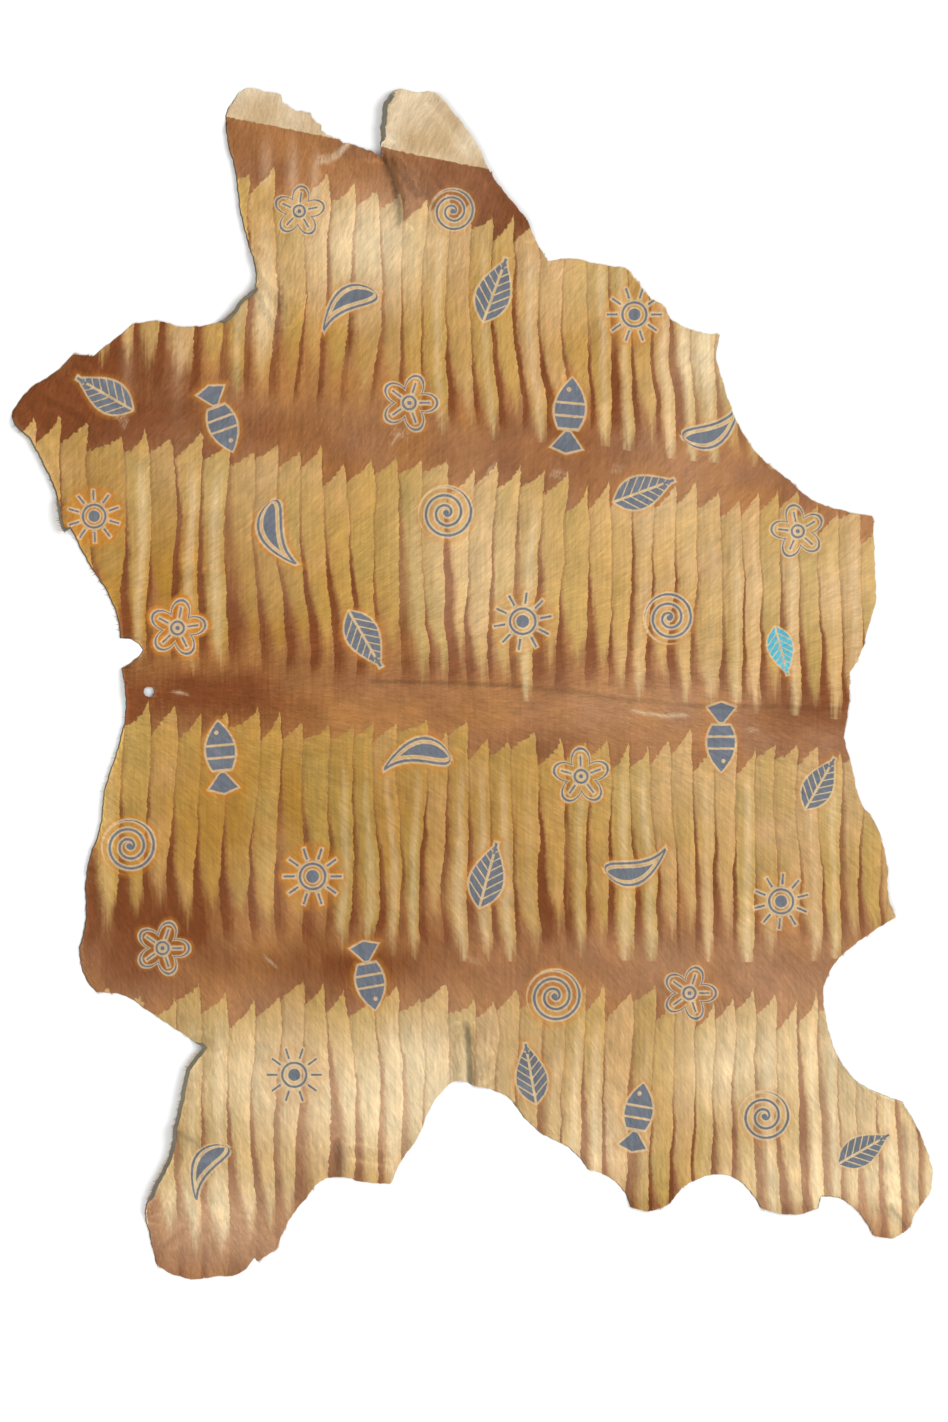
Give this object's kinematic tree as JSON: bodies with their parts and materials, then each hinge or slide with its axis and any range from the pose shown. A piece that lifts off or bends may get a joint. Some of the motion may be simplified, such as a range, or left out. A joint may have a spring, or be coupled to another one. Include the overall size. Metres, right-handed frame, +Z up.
{
  "type": "printed hair-on leather hide",
  "caption": "Whole hair-on calf hide with a printed pile side, cut to the skin's natural outline, for lying flat as a rug, throw or upholstery skin.",
  "frame": {"origin": "middle of the hide's bounding box in plan, on the plane of its flat underside", "axes": "+Y towards the neck lobes, along the hide's longest reach; +X towards the right end of the spine as seen from the hair side; +Z up out of the hair side, across the sheet's thickness"},
  "size_m": [1.104, 1.429, 0.0144],
  "materials": {
    "leather": "short lying hair printed in golden beige and brown feather stripes with small grey-blue motifs, grey suede underneath"
  },
  "bodies": {
    "root": {"hide": "leather"}
  },
  "joints": []
}
